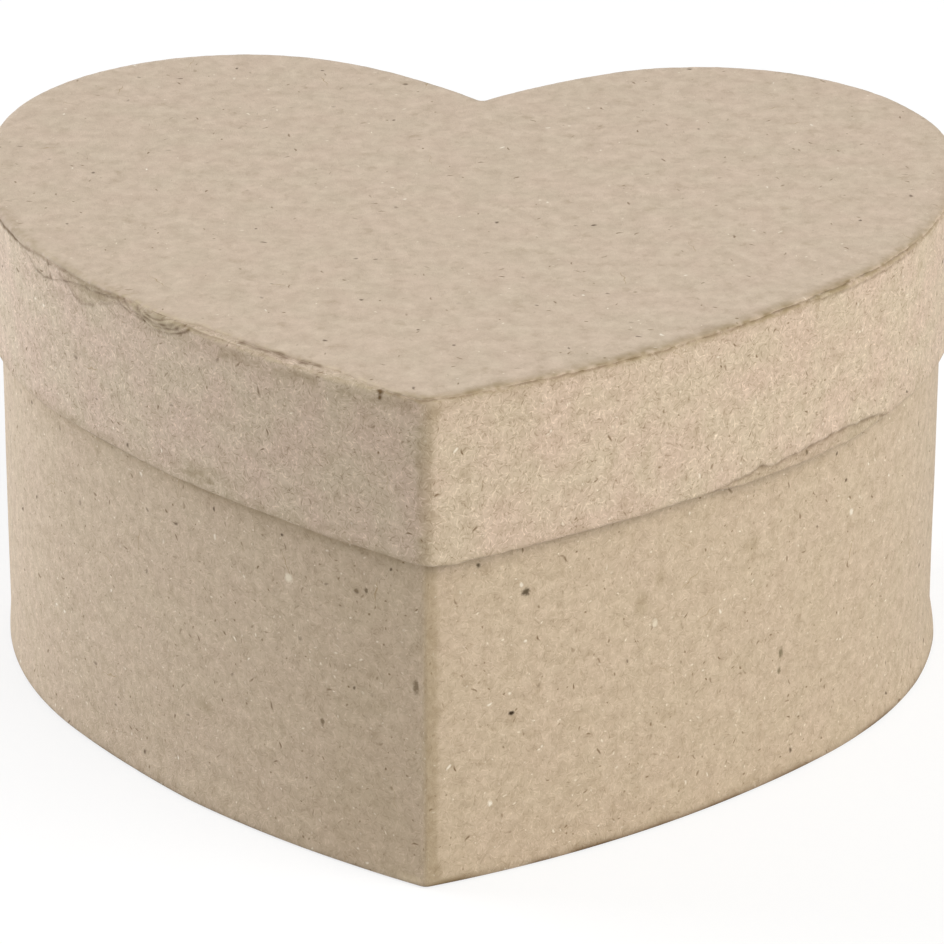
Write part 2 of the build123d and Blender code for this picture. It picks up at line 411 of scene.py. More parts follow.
def kraft(name, tones, fibre, cloud, cloud_size, fleck_share, speck_share, streaks=0.0, blots=()):
    """Recycled kraft paper, made on a screen from short brown and bleached fibres, raw and unsized.

    It is matt, without any gleam, and clouded in patches of a few millimetres. The eye finds short pale and
    dark fibres lying every way, brown specks of bark and a few white flecks of old print paper.
    """
    material = bpy.data.materials.new(name)
    material.use_nodes = True
    tree = material.node_tree
    shader = tree.nodes["Principled BSDF"]
    place = add(tree, "ShaderNodeUVMap", {}, uv_map="paper_mm")
    warp = add(tree, "ShaderNodeTexNoise", {"Vector": place, "Scale": 1 / WAVER_SIZE, "Detail": 0.0},
               "Color", noise_dimensions="2D")
    warped = add(tree, "ShaderNodeVectorMath", {0: warp, 1: (WAVER, WAVER, WAVER), 2: place},
                 operation="MULTIPLY_ADD")

    mottle = add(tree, "ShaderNodeTexNoise", {"Vector": place, "Scale": 1 / MOTTLE_SIZE, "Detail": 2.0},
                 noise_dimensions="2D")
    mottle = add(tree, "ShaderNodeMapRange", {"Value": mottle, "From Min": 0.32, "From Max": 0.68})
    colour = add(tree, "ShaderNodeMix", {0: mottle, 6: linear(tones[0]), 7: linear(tones[1])}, 2,
                 data_type="RGBA")
    pulp = add(tree, "ShaderNodeTexNoise",
               {"Vector": warped, "Scale": 1 / cloud_size, "Detail": 4.0, "Roughness": 0.62},
               noise_dimensions="2D")
    shade = add(tree, "ShaderNodeMapRange", {"Value": pulp, "From Min": 0.3, "From Max": 0.7,
                                             "To Min": -cloud, "To Max": cloud}, clamp=False)
    if streaks:
        long_way = add(tree, "ShaderNodeVectorMath", {0: place, 1: (1 / STREAK_WIDTH, 1 / STREAK_LENGTH, 0)},
                       operation="MULTIPLY")
        streak = add(tree, "ShaderNodeTexNoise", {"Vector": long_way, "Scale": 1.0, "Detail": 1.0},
                     noise_dimensions="2D")
        streak = add(tree, "ShaderNodeMath", {0: streak, 1: 0.5}, operation="SUBTRACT")
        shade = add(tree, "ShaderNodeMath", {0: streak, 1: streaks, 2: shade}, operation="MULTIPLY_ADD")

    bump = pulp
    for spacing, length, width, seed in FIBRES:
        shape, chances = strewn(tree, warped, spacing, length, width, seed)
        pale = add(tree, "ShaderNodeMapRange",
                   {"Value": chances["Blue"], "To Min": -fibre, "To Max": fibre})
        shade = add(tree, "ShaderNodeMath", {0: shape, 1: pale, 2: shade}, operation="MULTIPLY_ADD")
        bump = add(tree, "ShaderNodeMath", {0: shape, 1: 0.5, 2: bump}, operation="MULTIPLY_ADD")
    # The pulp's light and dark are almost without hue, so blue changes by a greater share than red does.
    shade = add(tree, "ShaderNodeVectorMath", {0: shade, 1: (0.9, 1.0, 1.15), 2: (1, 1, 1)},
                operation="MULTIPLY_ADD")
    colour = add(tree, "ShaderNodeVectorMath", {0: colour, 1: shade}, operation="MULTIPLY")
    # Specks of bark and flecks of print paper: tint, spacing, length, width, share that shows, and seed
    flecks = (
        ("#7e674b", 2.1, 0.9, 0.28, fleck_share, 7), ("#59452f", 3.6, 0.65, 0.5, fleck_share, 8),
        ("#efe5d3", 3.1, 0.6, 0.35, 0.6 * fleck_share, 10), ("#ab9473", 4.5, 4.2, 0.16, 0.1, 12),
        ("#ece0cb", 0.9, 0.36, 0.26, speck_share, 13), ("#806a4c", 1.0, 0.4, 0.28, speck_share, 14),
    )
    for tint, spacing, length, width, share, seed in flecks:
        shape, chances = strewn(tree, warped, spacing, length, width, seed)
        chance = add(tree, "ShaderNodeMapRange", {"Value": chances["Green"], "From Min": 1 - share})
        amount = add(tree, "ShaderNodeMath", {0: shape, 1: chance}, operation="MULTIPLY")
        colour = add(tree, "ShaderNodeMix", {0: amount, 6: colour, 7: linear(tint)}, 2, data_type="RGBA")

    # Soft brown smudges, one or two millimetres long
    smudge = add(tree, "ShaderNodeTexNoise",
                 {"Vector": warped, "Scale": 1 / SMUDGE_SIZE, "Detail": 4.0, "Roughness": 0.65},
                 noise_dimensions="2D")
    smudge = add(tree, "ShaderNodeMapRange",
                 {"Value": smudge, "From Min": 0.58, "From Max": 0.8, "To Max": 0.4})
    colour = add(tree, "ShaderNodeMix", {0: smudge, 6: colour, 7: linear("#9c876a")}, 2, data_type="RGBA")

    # Ragged blots of dirt and scraps of white paper, with their places on the flat paper and half sizes
    ragged = add(tree, "ShaderNodeTexNoise", {"Vector": place, "Scale": 1 / RAGGED_SIZE, "Detail": 2.0},
                 noise_dimensions="2D")
    for tint, along, across, half_length, half_width, strength in blots:
        away = add(tree, "ShaderNodeVectorMath", {0: place, 1: (along, across, 0)}, operation="SUBTRACT")
        away = add(tree, "ShaderNodeVectorMath", {0: away, 1: (1 / half_length, 1 / half_width, 0)},
                   operation="MULTIPLY")
        away = add(tree, "ShaderNodeVectorMath", {0: away}, "Value", operation="LENGTH")
        away = add(tree, "ShaderNodeMath", {0: ragged, 1: 1.2, 2: away}, operation="MULTIPLY_ADD")
        amount = add(tree, "ShaderNodeMapRange", {"Value": away, "From Min": 1.9, "From Max": 1.1,
                                                  "To Max": strength})
        colour = add(tree, "ShaderNodeMix", {0: amount, 6: colour, 7: linear(tint)}, 2, data_type="RGBA")

    # Marks of the handwork and painted light: rubbed olive-brown folds with painted shade, pale torn fibres
    # with painted highlights, and dark creases under the plies, which are painted shade with some dirt
    for mark, tint in (("wear_and_shade", "#8f7c5a"), ("torn_and_highlight", "#d9c8a8"), ("crease_shade_and_dirt", "#644b29")):
        amount = add(tree, "ShaderNodeAttribute", {}, "Fac", attribute_name=mark)
        colour = add(tree, "ShaderNodeMix", {0: amount, 6: colour, 7: linear(tint)}, 2, data_type="RGBA")
    normal = add(tree, "ShaderNodeBump", {"Height": bump, "Strength": 0.3, "Distance": FIBRE_RELIEF * MM})
    tree.links.new(colour, shader.inputs["Base Color"])
    tree.links.new(normal, shader.inputs["Normal"])
    shader.inputs["Roughness"].default_value = 0.92
    shader.inputs["Specular IOR Level"].default_value = 0.25
    # Fibres that stand up from the paper brighten it a little where it is seen along its face.
    shader.inputs["Sheen Weight"].default_value = 0.1
    return material


def board(name, tone, dark_tone, grain):
    """Grey-brown board pressed from waste paper, or gummed paper tape: dull, and cloudy with pulp."""
    material = bpy.data.materials.new(name)
    material.use_nodes = True
    tree = material.node_tree
    shader = tree.nodes["Principled BSDF"]
    place = add(tree, "ShaderNodeTexCoord", {}, "Object")
    pulp = add(tree, "ShaderNodeTexNoise", {"Vector": place, "Scale": 1 / (grain * MM), "Detail": 5.0})
    colour = add(tree, "ShaderNodeMix", {0: pulp, 6: linear(dark_tone), 7: linear(tone)}, 2,
                 data_type="RGBA")
    normal = add(tree, "ShaderNodeBump", {"Height": pulp, "Strength": 0.3, "Distance": 0.05 * MM})
    tree.links.new(colour, shader.inputs["Base Color"])
    tree.links.new(normal, shader.inputs["Normal"])
    shader.inputs["Roughness"].default_value = 0.9
    shader.inputs["Specular IOR Level"].default_value = 0.25
    return material


rim_kraft = kraft("kraft_paper_rough_screen_side", ("#c7b59d", "#c9b39e"), fibre=0.28, cloud=0.11,
                  cloud_size=1.3, fleck_share=0.14, speck_share=0.05)
top_kraft = kraft("kraft_paper_calendered", ("#c7b59f", "#c9b5a0"), fibre=0.06, cloud=0.095,
                  cloud_size=2.0, fleck_share=0.11, speck_share=0.03)
lining_kraft = kraft("kraft_paper_lining", ("#c7b49a", "#d0baa1"), fibre=0.16, cloud=0.06,
                     cloud_size=1.8, fleck_share=0.16, speck_share=0.06)
pulp_board = board("waste_paper_board_pressed", "#b5a48d", "#94846e", 1.5)
gummed_tape = board("gummed_paper_tape", "#b99a70", "#a5875f", 3.0)

# Handwork and painted light on the lid. Places are millimetres along the outline, then millimetres down from
# the top fold.

# How far the top sheet's cut edge laps down over the fold, or stops short of it, where that is negative
SHEET_REACH = (
    (-161, -0.15), (-96, -0.1), (-84, -0.05), (-76, 0.15), (-70, 0.3), (-64.5, 0.45), (-60, 0.75),
    (-57.5, 0.45), (-53.5, 0.15), (-50, 0.25), (-44, 0.1), (-40, -0.1), (-33, -0.35), (-30.5, -0.6),
    (-29.5, -1), (-25.5, -1.3), (-15, -1.4), (-11, -1.6), (-6, -0.5), (-2.5, -0.25), (3, -0.15), (56, -0.25),
    (66, -0.15), (161, -0.15),
)
# Dark line along that edge, painted shade under the edge with dirt, and the olive-brown rubbing of the fold
EDGE_DARK = (
    (-161, 0.2), (-86, 0.3), (-76, 0.95), (-62, 0.95), (-58, 0.5), (-52, 0.4), (-42, 0.4), (-38, 0.35),
    (-24, 0.2), (-23.5, 0.9), (-17.5, 0.8), (-17, 0.2), (-16, 0.2), (-15.5, 0.8), (-13, 0.8), (-12.5, 0.1),
    (-6, 0.1), (-4, 0.6), (-1, 0.6), (0, 0.5), (6, 0.45), (54, 0.45), (62, 0.3), (76, 0.25), (95, 0.2),
    (161, 0.2),
)
FOLD_WORN = (
    (-161, 0.1), (-82, 0.1), (-74, 0.3), (-44, 0.3), (-38, 0.45), (-30, 0.45), (-26, 0.35), (-5, 0.35),
    (-3, 0.5), (4, 0.55), (12, 0.65), (34, 0.65), (44, 0.8), (56, 0.8), (62, 0.55), (76, 0.35), (84, 0.2),
    (96, 0.1), (161, 0.1),
)
# Pale line of the fold: torn fibres, with a painted highlight on the sheet's edge and on the fold's ridge
FOLD_PALE = (
    (-64, 0), (-58, 0.2), (-44, 0.25), (-40, 0.45), (-31, 0.45), (-29, 0.4), (-8, 0.35), (-3, 0.2), (3, 0.1),
    (66, 0.1), (72, 0),
)
# Olive-brown darkening of the rim's face just below the fold
FACE_DARKENING = ((-42, 0), (-38, 0.2), (-30, 0.25), (-26, 0.4), (-8, 0.4), (-3, 0.3), (1.5, 0.25), (4, 0))
# Plies of the wrap that were tucked or lapped and pressed down: cut edge, thickness, dark and pale
TUCK = (
    (-60.5, 0.3), (-59.5, 0.8), (-58, 1.3), (-57, 1.9), (-55, 2.4), (-53.5, 2.1), (-52.5, 1.9), (-51, 1.35),
    (-47.5, 0.8), (-45, 0.7), (-43, 0.4), (-41, 0.1),
)
HOLLOW = (
    (-51.5, 0.9), (-50, 1.5), (-49, 2.4), (-47.5, 2.9), (-45.5, 2.2), (-43, 1.3), (-40.5, 0.5), (-40, 0.1),
)
# A ply's dark is painted shade under its cut edge, and its pale is torn fibres with a painted highlight
# along it
PLIES = (
    (TUCK, 0.09, 0.6, 0.1),
    (HOLLOW, -0.05, 0.45, 0.0),
    (((-41.5, 0), (-40, 0.7), (-38.5, 0.9), (-36.5, 1.15), (-35, 1.55), (-32.5, 1.3), (-31, 0.65),
      (-30, 0.2)), 0.12, 0.7, 0.4),
    (((-41, -0.6), (-39, 0.35), (-36, 0.95), (-35, 1.2), (-32, 0.6), (-30, -0.6)), 0.1, 0.7, 0.4),
    (((-39, -0.6), (-36.5, 0.5), (-35, 0.8), (-32.5, 0.4), (-30.5, -0.6)), 0.08, 0.8, 0.4),
    (((-30, -0.9), (-30, -0.3), (-29, -0.1), (-26, -0.2), (-22.5, -0.55), (-22, -0.9)), 0.12, 0.3, 0.6),
    (((45, -0.4), (49, 0.35), (54, 0.55), (61, 0.5), (67, 0.25), (70, -0.4)), 0.05, 0.4, 0.1),
)
# A pinched crease across the tuck, darkened along it with painted shade
PINCH = ((-54, 0.2), (-53.5, 1.3), (-53, 2.7))
# Wrinkled plies, dark blots and brown stains: place, distance down, half length and half height
BUNCH = (-35, 0.35, 5.0, 1.1)
WRINKLE_SPACING = 0.42
WRINKLE_BOW = 0.9
BLOTS = (
    (-5.2, -0.15, 0.42, 0.35), (-5.1, 0.2, 0.34, 0.45), (-5.15, 0.65, 0.22, 0.32), (-36.6, 1.15, 0.3, 0.22),
)
STAINS = ((-33.9, 0.3, 2, 0.5), (-25, 1.2, 1.3, 0.7), (0.7, 1.3, 1, 1.3), (11, -0.3, 2.5, 0.4))
# How far the lid's lower edge sags, and where its outer ply stops short of it and shows the ply below
EDGE_SAG = (
    (-161, 0), (-53, 0), (-43, -0.2), (-36, -0.1), (-20, -0.15), (-12, 0.2), (-6, 0.35), (0, 0.5),
    (3.5, 0.85), (5, 0.6), (10, 0.6), (16, 0.4), (23, 0.35), (30, 0.2), (34, 0.3), (38, 0.75), (46, 0.9),
    (54, 0.9), (58, 0.6), (61, 0.2), (64, 0), (161, 0),
)
SHORT_PLY = (
    (33, 0), (34.5, 0.5), (37.5, 1.2), (40.5, 1.5), (43, 1.3), (46, 1.6), (49, 1.8), (54, 1.9), (57, 1.6),
    (59.5, 0.9), (61.5, 0),
)
SHORT_PLY_STEP = 0.13
# The wrap's two ends lap at the right of the cleft.
LAP_END = 149.0
LAP_STEP = 0.1
# The lid's tip was pressed a little to the right when its wrap was glued.
TIP_LEAN = 0.2
TIP_LEAN_REACH = 10.0
# A distance that puts a place out of reach of any mark
FAR = 9.0


def along_edge(table):
    """The table's values at each of the lid's stations."""
    places, values = np.array(table).T
    return np.interp(LID_STATIONS, places, values)[:, None]


def near(distance, middle, width):
    """1 at the middle, falling away to 0 at about two widths."""
    return np.exp(-((distance - middle) / width) ** 2)


def from_line(down, line):
    """How far each place lies from a line over the wrap, and whether it lies above that line."""
    line = np.array(line)
    here = LID_STATIONS[:, None]
    nearest = np.full(down.shape, FAR)
    for start, run in zip(line, np.diff(line, axis=0)):
        past, below = here - start[0], down - start[1]
        share = np.clip((past * run[0] + below * run[1]) / (run @ run), 0, 1)
        nearest = np.minimum(nearest, np.hypot(past - share * run[0], below - share * run[1]))
    above = down < np.interp(LID_STATIONS, line[:, 0], line[:, 1], left=-FAR, right=-FAR)[:, None]
    return nearest, above


def spot(down, place, middle, half_length, half_height, uneven):
    """1 within a blot, 0 well away from it."""
    away = np.hypot((LID_STATIONS[:, None] - place) / half_length, (down - middle) / half_height)
    return smooth(1.35 - away + 0.4 * uneven)


# Lid

lid_path = trace(
    (rim_inside, lid_bottom + TURN_IN, 0, 1.0), (rim_inside, lid_bottom, LOW_FOLD_ROUND, 0.1),
    (0, lid_bottom, LOW_FOLD_ROUND, 0.12), (0, lid_bottom + 2.2, 0, 0.45), (0, fold_top - 3.4, 0, 0.09),
    (0, fold_top, TOP_FOLD_ROUND, 0.09), (2.0, fold_top, 0, 1.0), (rim_inside + TURN_OVER, fold_top, 0, 0),
)
# The section's last points, which lie past the top fold
FLAT_POINTS = 20
lid_runs = run_along(lid_path)
fold_run = lid_runs[np.argmax(lid_path[:, 1] - lid_path[:, 0])]
# Points of the section that show from outside
outside = lid_path[:, 0] < 0.6 * rim_inside
over_edge = np.where(outside, lid_path[:, 1] - lid_bottom, FAR)[None, :]
reach = along_edge(SHEET_REACH)
# The sheet's edge wavers more in front, where the box was handled.
in_front = 0.4 + 0.6 * smooth((95 - np.abs(LID_STATIONS)) / 15)
wavering = in_front * (0.14 * wander(LID_STATIONS, 3.2, 11) + 0.09 * wander(LID_STATIONS, 1.0, 12))
reach = reach + wavering[:, None]
lean = TIP_LEAN * near(LID_STATIONS, 0, TIP_LEAN_REACH)


def fold_marks(down):
    """Painted shade with grime, pale broken fibres with painted highlight, and rubbing about the top fold,
    on the wrap and on the sheet's edge alike.
    """
    grain = rumple(LID_STATIONS, down, 0.5, 0.3, 21)
    patches = rumple(LID_STATIONS, down, 1.4, 0.6, 22)
    broken = np.clip(0.5 + 0.9 * rumple(LID_STATIONS, down, 0.8, 0.5, 26), 0, 1)
    frayed = down + 0.08 * grain + 0.08 * patches
    # The dark line of painted shade and dirt lies wider where the sheet stops short on the flat top.
    shade_and_dirt_width = 0.2 + 0.2 * smooth(-reach - 0.4) + 0.14 * near(LID_STATIONS, -70, 9)[:, None]
    crease_shade_and_dirt = along_edge(EDGE_DARK) * near(frayed, reach + 0.12, shade_and_dirt_width)
    unbroken = 0.5 * smooth((-12 - LID_STATIONS) / 2) + 0.3 * smooth((-58 - LID_STATIONS) / 2)
    crease_shade_and_dirt = crease_shade_and_dirt * (broken + (1 - broken) * unbroken[:, None])
    for blot in BLOTS:
        crease_shade_and_dirt = np.maximum(crease_shade_and_dirt, 0.95 * spot(frayed, *blot, grain))
    # The right side's rubbing reaches farther in over the flat top.
    width = 0.6 + 0.3 * smooth((LID_STATIONS - 3) / 6)[:, None] * (frayed < -0.1)
    uneven = 0.5 * patches + grain * (0.25 + 0.35 * smooth((frayed + 0.7) / 0.5))
    wear_and_shade = along_edge(FOLD_WORN) * near(frayed, -0.1, width) * np.clip(0.75 + uneven, 0, 1.3)
    for stain in STAINS:
        wear_and_shade = np.maximum(wear_and_shade, 0.45 * spot(frayed, *stain, patches))
    # Pale lines at the sheet's edge and on the fold's ridge: torn fibres with painted highlight
    torn_and_highlight = np.maximum(near(frayed, reach - 0.2, 0.2), 0.8 * near(frayed, 0.1, 0.3))
    torn_and_highlight = along_edge(FOLD_PALE) * torn_and_highlight * np.clip(0.6 + 0.9 * grain, 0, 1)
    return frayed, broken, grain, patches, crease_shade_and_dirt, torn_and_highlight, wear_and_shade


def lid_wrap():
    """The rim's wrap: its tucked plies, folds with their rubbing, painted shade and highlights, sagging
    lower edge and lapped ends.
    """
    here = LID_STATIONS[:, None]
    down = (fold_run - lid_runs)[None, :]
    on_face = smooth((down + 0.6) / 0.7)
    frayed, broken, grain, patches, crease_shade_and_dirt, torn_and_highlight, wear_and_shade = fold_marks(down)
    lift = 0.03 * (rumple(LID_STATIONS, lid_runs, 9, 6, 23) - 1)
    for edge, thick, dark, pale in PLIES:
        distance, above = from_line(frayed, edge)
        inside = np.where(above, distance, -distance)
        lift = lift + thick * smooth((inside + 0.06) / 0.12) * on_face
        # Painted shade under each ply's cut edge, and a pale line of torn fibres and painted highlight just
        # inside it
        crease_shade_and_dirt = np.maximum(crease_shade_and_dirt, dark * near(inside, -0.05, 0.2) * (0.3 + 0.7 * broken))
        torn_and_highlight = np.maximum(torn_and_highlight, pale * near(inside, 0.18, 0.15) * np.clip(0.5 + 0.7 * grain, 0, 1))
        # Painted shade inside the hollow
        if edge is HOLLOW:
            wear_and_shade = np.maximum(wear_and_shade, 0.45 * smooth(inside / 0.3) * (0.8 + 0.5 * patches))
    distance, _ = from_line(frayed, PINCH)
    # Painted shade along the pinched crease
    crease_shade_and_dirt = np.maximum(crease_shade_and_dirt, 0.9 * near(distance, 0, 0.2) * broken)
    lift = lift - 0.06 * near(distance, 0, 0.2)

    # Wrinkles follow the plies down in a bow. Their troughs have painted shade and their ridges painted
    # highlights, and the bunch is darker brown overall.
    bowed = down - WRINKLE_BOW * near(here, BUNCH[0], 3.2)
    comb = (bowed / WRINKLE_SPACING + 0.4 * rumple(LID_STATIONS, bowed, 2.2, 0.5, 27)) % 1
    wrinkles = smooth(1 - np.abs(comb - 0.5) / 0.25)
    bunched = spot(bowed + WRINKLE_BOW, *BUNCH, patches)
    crease_shade_and_dirt = np.maximum(crease_shade_and_dirt, 0.8 * bunched * wrinkles * (0.3 + 0.7 * broken))
    torn_and_highlight = np.maximum(torn_and_highlight, 0.45 * bunched * (1 - wrinkles) * np.clip(0.4 + 0.8 * grain, 0, 1))
    wear_and_shade = np.maximum(wear_and_shade, 0.5 * bunched * (0.7 + 0.5 * patches))
    speckled = np.clip(0.65 + 0.9 * patches + 0.4 * grain, 0.15, 1.2)
    below_fold_darkening = near(frayed + 0.3 * patches, 1.0, 0.85) * speckled
    wear_and_shade = np.maximum(wear_and_shade, along_edge(FACE_DARKENING) * below_fold_darkening)
    # Painted shade on the rim's face left of the tip
    wear_and_shade = np.maximum(wear_and_shade, 0.03 * near(here, -9, 9) * outside)
    lift = lift - 0.05 * wrinkles * bunched * on_face
    lift = lift + 0.035 * (grain - 1) * near(frayed, -0.2, 0.6)

    # The tip is rubbed all the way down, and the same darkening is painted shade that carries the left
    # face's shade round the tip.
    tip_wear_and_shade = smooth((1.1 + 0.2 * grain - here) / 0.6) * smooth((here + 1.4 + 0.5 * patches) / 1.2)
    wear_and_shade = np.maximum(wear_and_shade, 0.38 * tip_wear_and_shade * (down > -0.3) * outside * (0.85 + 0.3 * patches))

    ragged = 0.15 * wander(LID_STATIONS, 1.3, 24) + 0.09 * wander(LID_STATIONS, 0.5, 29)
    short = along_edge(SHORT_PLY) + ragged[:, None]
    below = np.where(along_edge(SHORT_PLY) > 0, short - over_edge, -FAR)
    bared = smooth((below + 0.06) / 0.12) * outside
    lift = lift - SHORT_PLY_STEP * bared
    # Painted shade on the ply below, where the outer ply's cut edge stands over it
    wear_and_shade = np.maximum(wear_and_shade, 0.3 * bared)
    # The lower edge is darkened with painted shade, more so at the left.
    on_left = smooth(-here / 6)
    lower_edge_shade = (0.3 + 0.08 * on_left) * near(over_edge, 0, 0.6 + 0.5 * on_left)
    wear_and_shade = np.maximum(wear_and_shade, lower_edge_shade * (0.8 + 0.5 * patches))
    handled = near(here, -28, 5.5) * near(over_edge, 1.2, 1.4) * np.clip(0.6 + 0.9 * patches, 0, 1.2)
    wear_and_shade = np.maximum(wear_and_shade, 0.5 * handled)
    # Painted shade under the outer ply's cut edge
    cut_line = (along_edge(SHORT_PLY) > 0.15) * near(below, 0.1, 0.26)
    crease_shade_and_dirt = np.maximum(crease_shade_and_dirt, 0.55 * cut_line * (0.3 + 0.7 * broken))
    lapped = smooth((LID_STATIONS - LAP_END) / 0.15)[:, None] * outside
    lift = lift + LAP_STEP * lapped * smooth((HALF_LENGTH - LID_STATIONS) / 8)[:, None]
    # Painted shade along the edge of the lapped end
    crease_shade_and_dirt = np.maximum(crease_shade_and_dirt, 0.35 * near(here + 0.2 * patches, LAP_END, 0.35) * outside)
    unsteady = 0.07 * wander(LID_STATIONS, 7, 25) + 0.04 * wander(LID_STATIONS, 1.6, 28)
    sag = along_edge(EDGE_SAG) + unsteady[:, None]
    rise = -sag * smooth(1 - (lid_path[:, 1] - lid_bottom) / 7)[None, :]
    marks = {"crease_shade_and_dirt": np.clip(crease_shade_and_dirt, 0, 1), "torn_and_highlight": np.clip(torn_and_highlight, 0, 1), "wear_and_shade": np.clip(wear_and_shade, 0, 1)}
    return strip("lid_rim_wrap_paper", LID_STATIONS, lid_path, paper, lift, rise,
                 lean=lean[:, None] * outside, marks=marks)


def lid_top_sheet():
    """The top sheet, pressed down over the fold at the left, and thinned by rubbing along its edge, which
    has the fold's marks and painted shade.
    """
    inset = inset_of("lid_top_sheet")
    on_top = slice(-FLAT_POINTS, None)
    even_reach = fold_run - np.interp(inset, lid_path[on_top, 0], lid_runs[on_top])
    face = facing(lid_path)
    # Rows of points from its underside round its edge: distance inwards, and share of its thickness
    layers = ((1.6, 0), (0.6, 0), (0, -0.5), (0.06, 0.05), (0.14, 0.4), (0.26, 0.7), (0.4, 0.9), (0.55, 1),
              (0.7, 1), (0.85, 1), (1.0, 1), (1.15, 1), (1.3, 1), (1.45, 1), (1.6, 1))
    inwards, shares = np.array(layers).T
    _, _, grain, _, crease_shade_and_dirt, torn_and_highlight, wear_and_shade = fold_marks(reach - inwards)
    rows = []
    for number, (inward, share) in enumerate(layers):
        settled = smooth(np.array(inward / 3))
        run = fold_run - (reach[:, 0] * (1 - settled) + even_reach * settled - inward)
        thick = paper * share
        here = np.interp(run, lid_runs, lid_path[:, 0]) + thick * np.interp(run, lid_runs, face[:, 0])
        level = np.interp(run, lid_runs, lid_path[:, 1]) + thick * np.interp(run, lid_runs, face[:, 1])
        points, outward = ring(LID_STATIONS, inset + inward)
        points = points + outward * (inset + inward - here)[:, None]
        points[:, 0] += lean * near(inward, 0, 4)
        level = np.minimum(level - 0.05 * (grain[:, number] + 1) * near(inward, 0.3, 0.4) * share, box_top)
        rows.append(np.column_stack([points, level]))
    shown = (inwards < 1.5) & (shares > 0)
    marks = {"crease_shade_and_dirt": crease_shade_and_dirt, "torn_and_highlight": torn_and_highlight, "wear_and_shade": wear_and_shade}
    marks = {mark: (np.clip(amount, 0, 1) * shown).T for mark, amount in marks.items()}
    return sheet_of_rings("lid_top_sheet_paper", rows, marks=marks)


def rim_lining():
    """The rim's lining strip, with its lower edge cut by eye."""
    path = trace((rim_inside + paper, rim_lining_high, 0, 1.5), (rim_inside + paper, rim_lining_low, 0, 0))
    cut = 0.35 * wander(LINING_STATIONS, 14, 41) + 0.1 * wander(LINING_STATIONS, 3, 42)
    rise = cut[:, None] * smooth(1 - (path[:, 1] - rim_lining_low) / 6)[None, :]
    lift = 0.02 * rumple(LINING_STATIONS, run_along(path), 8, 5, 43)
    return strip("lid_rim_lining_paper", LINING_STATIONS, path, paper, lift, rise,
                 lengths=lengths_round(LINING_STATIONS, rim_inside + paper))


finish_piece(lid_wrap(), "lid", rim_kraft, "lid_rim_wrap")
finish_piece(lid_top_sheet(), "lid", top_kraft, "lid_top_sheet")
finish_piece(rim_lining(), "lid", lining_kraft, "lid_rim_lining")
underside_inset = rim_inside + 0.05 + 0.05 * wander(LINING_STATIONS, 6, 44)
underside = flat_piece("lid_underside_sheet_paper", LINING_STATIONS, underside_inset,
                       levels("lid_underside_sheet")[0], paper, faces_up=False)
finish_piece(underside, "lid", lining_kraft, "lid_underside_sheet")

# Tray

# How far the tray's foot stands out past its wall
FOOT_FLARE = (
    (-161, 0.1), (-95, 0.1), (-85, 0.2), (-60, 0.2), (-42, 0.3), (-32, 0.5), (-22, 0.3), (-10, 0.1),
    (40, 0.1), (60, 0.2), (74, 0.55), (86, 0.6), (100, 0.2), (161, 0.1),
)
FOOT_HEIGHT = 4.0
FOOT_DROP = 0.14
# How far below the lid's edge the painted shadow on the wall is darkest
LID_SHADOW_DEPTH = 0.65
# Dark blots and scraps of white paper on the wall: tint, place, height, half length, half height, strength
WALL_BLOTS = (
    ("#4a3c26", 6.5, 35.5, 0.25, 0.3, 0.9), ("#4a3c26", 11.9, 31.4, 0.45, 0.45, 0.9),
    ("#3a2c1a", 10.3, 18.1, 0.3, 0.25, 1.0), ("#6b583c", -1.6, 22.8, 0.35, 0.75, 0.75),
    ("#6b583c", -13.3, 15.5, 0.28, 0.45, 0.8), ("#5a482e", -7.6, 32.0, 0.22, 0.35, 0.8),
    ("#6f6446", 45.6, 15.0, 0.3, 0.55, 0.75), ("#6f6446", 45.4, 12.9, 0.25, 0.4, 0.75),
    ("#e9dcc4", -17.6, 30.6, 0.5, 0.5, 0.9), ("#e4d8c2", 27.7, 23.9, 0.35, 0.5, 0.7),
    ("#ece2d0", 56.6, 27.6, 0.3, 0.4, 0.8), ("#f2e8d6", 7.9, 8.3, 0.25, 0.3, 0.9),
    ("#ece2d0", 11.4, 32.3, 0.2, 0.25, 0.8),
)
# Soft brown stains on the wall: place, height, half length and half height
WALL_STAINS = ((26, 26.5, 0.9, 1.6), (28.3, 29, 0.7, 1.2), (41, 29, 1.2, 1), (-30, 12, 1.2, 0.9))

tray_path = trace(
    (wall_inside + TURN_OVER, base_level, 0, 1.0), (tray_outside, base_level, BASE_FOLD_ROUND, 0.25),
    (tray_outside, base_level + FOOT_HEIGHT, 0, 0.5), (tray_outside, lid_bottom - 3.5, 0, 0.2),
    (tray_outside, lid_bottom + 1, 0, 0.8), (tray_outside, tray_rim, TRAY_FOLD_ROUND, 0.2),
    (wall_inside, tray_rim, TRAY_FOLD_ROUND, 0.8), (wall_inside, tray_rim - TURN_IN, 0, 0),
)
tray_runs = run_along(tray_path)


def wall_blots():
    """The wall's blots, with their heights turned into distances across the wrap."""
    face = (tray_path[:, 0] == tray_outside) & (tray_path[:, 1] > base_level)
    for tint, place, height, half_length, half_height, strength in WALL_BLOTS:
        across = np.interp(height, tray_path[face, 1], tray_runs[face])
        yield tint, place, across, half_length, half_height, strength


tray_kraft = kraft("kraft_paper_smooth_felt_side", ("#c3b097", "#c4b098"), fibre=0.17, cloud=0.11,
                   cloud_size=1.4, fleck_share=0.14, speck_share=0.13, streaks=0.05, blots=wall_blots())
base_kraft = kraft("kraft_paper_base_sheet", ("#c3b097", "#c4b098"), fibre=0.17, cloud=0.11,
                   cloud_size=1.4, fleck_share=0.16, speck_share=0.13, streaks=0.05)


